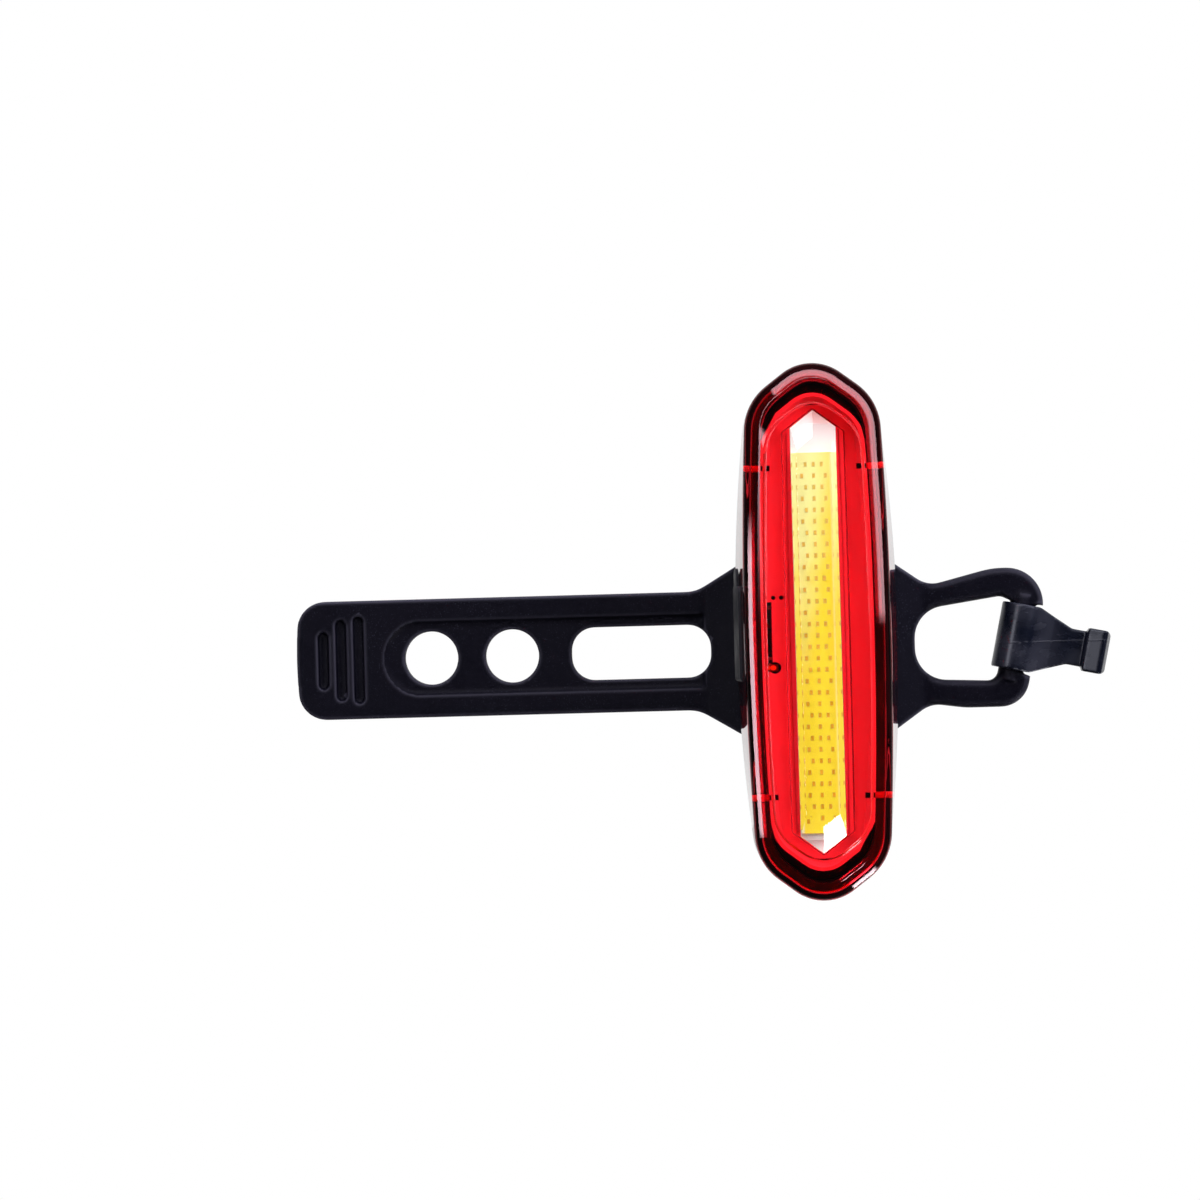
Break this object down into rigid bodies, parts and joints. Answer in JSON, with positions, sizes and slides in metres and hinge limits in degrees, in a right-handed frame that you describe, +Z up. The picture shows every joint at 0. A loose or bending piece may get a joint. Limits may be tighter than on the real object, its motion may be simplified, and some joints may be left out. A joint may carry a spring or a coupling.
{
  "type": "bicycle tail light",
  "caption": "Slim rechargeable rear bicycle light with a red domed lens and a clear window bar, on a stretch strap with holes and a hook that wraps round a seat post.",
  "frame": {"origin": "on the axis of the quarter-turn fitting, in the plane of the pad's two flat lands that face the seat post", "axes": "+Z up the lamp and along the seat post, +X along the strap towards the hook, -Y the way the lens faces, +Y towards the post"},
  "size_m": [0.1175, 0.0273, 0.075],
  "materials": {
    "red_lens": "gloss transparent red polycarbonate",
    "clear_window": "gloss clear polycarbonate",
    "seal_rubber": "matte",
    "case_black": "fine moulded texture",
    "battery_foil": "satin foil",
    "foam": "matte foam",
    "board_black": "solder mask",
    "screw_steel": "bright zinc",
    "chip_black": "matte",
    "resistor_black": "matte",
    "capacitor_tan": "matte ceramic",
    "indicator_orange": "clear resin",
    "socket_steel": "tinned",
    "tongue_black": "matte",
    "cover_rubber": "matte",
    "switch_black": "matte",
    "plunger_white": "satin",
    "button_rubber": "matte",
    "strip_board_white": "white solder mask",
    "die_orange": "silicone",
    "phosphor_yellow": "soft silicone",
    "tray_white": "gloss white",
    "lead_red": "pvc",
    "lead_black": "pvc",
    "strap_rubber": "matte black rubber with a fine grain",
    "hook_plastic": "gloss black"
  },
  "bodies": {
    "strap": {"strap": "strap_rubber"},
    "lamp": {"front_lens": "red_lens", "light_window": "clear_window", "seal_ring": "seal_rubber", "rear_case": "case_black", "battery_cell": "battery_foil", "battery_foam_pad": "foam", "circuit_board": "board_black", "board_screws": "screw_steel", "controller_chip": "chip_black", "charger_chip": "chip_black", "chip_resistors": "resistor_black", "chip_capacitors": "capacitor_tan", "indicator_led": "indicator_orange", "usb_shell": "socket_steel", "usb_tongue": "tongue_black", "tact_switch_body": "switch_black", "led_board": "strip_board_white", "led_chips": "die_orange", "led_phosphor": "phosphor_yellow", "reflector_tray": "tray_white", "battery_lead_red": "lead_red", "battery_lead_black": "lead_black", "led_lead_red": "lead_red", "led_lead_black": "lead_black"},
    "hook": {"hook": "hook_plastic"},
    "button": {"push_button": "button_rubber", "tact_switch_plunger": "plunger_white"},
    "cover": {"usb_cover": "cover_rubber"}
  },
  "joints": [
    {"name": "lamp_swivel", "type": "hinge", "parent": "strap", "child": "lamp", "pos_m": [0, -0.0055, 0], "axis": [0, 1, 0], "range_deg": [-90, 90]},
    {"name": "hook_pivot", "type": "hinge", "parent": "strap", "child": "hook", "pos_m": [0.0289, -0.0036, 0.0008], "axis": [0.2079, 0, 0.9781], "range_deg": [-8, 150]},
    {"name": "button_press", "type": "slide", "parent": "lamp", "child": "button", "axis": [0, -1, 0], "range_m": [0, 0.0004], "stiffness_N_per_m": 1500, "springref_m": -0.0003},
    {"name": "usb_cover_hinge", "type": "hinge", "parent": "lamp", "child": "cover", "pos_m": [-0.01081, -0.01777, -0.00385], "axis": [0.1459, -0.9893, 0], "range_deg": [0, 110]}
  ]
}
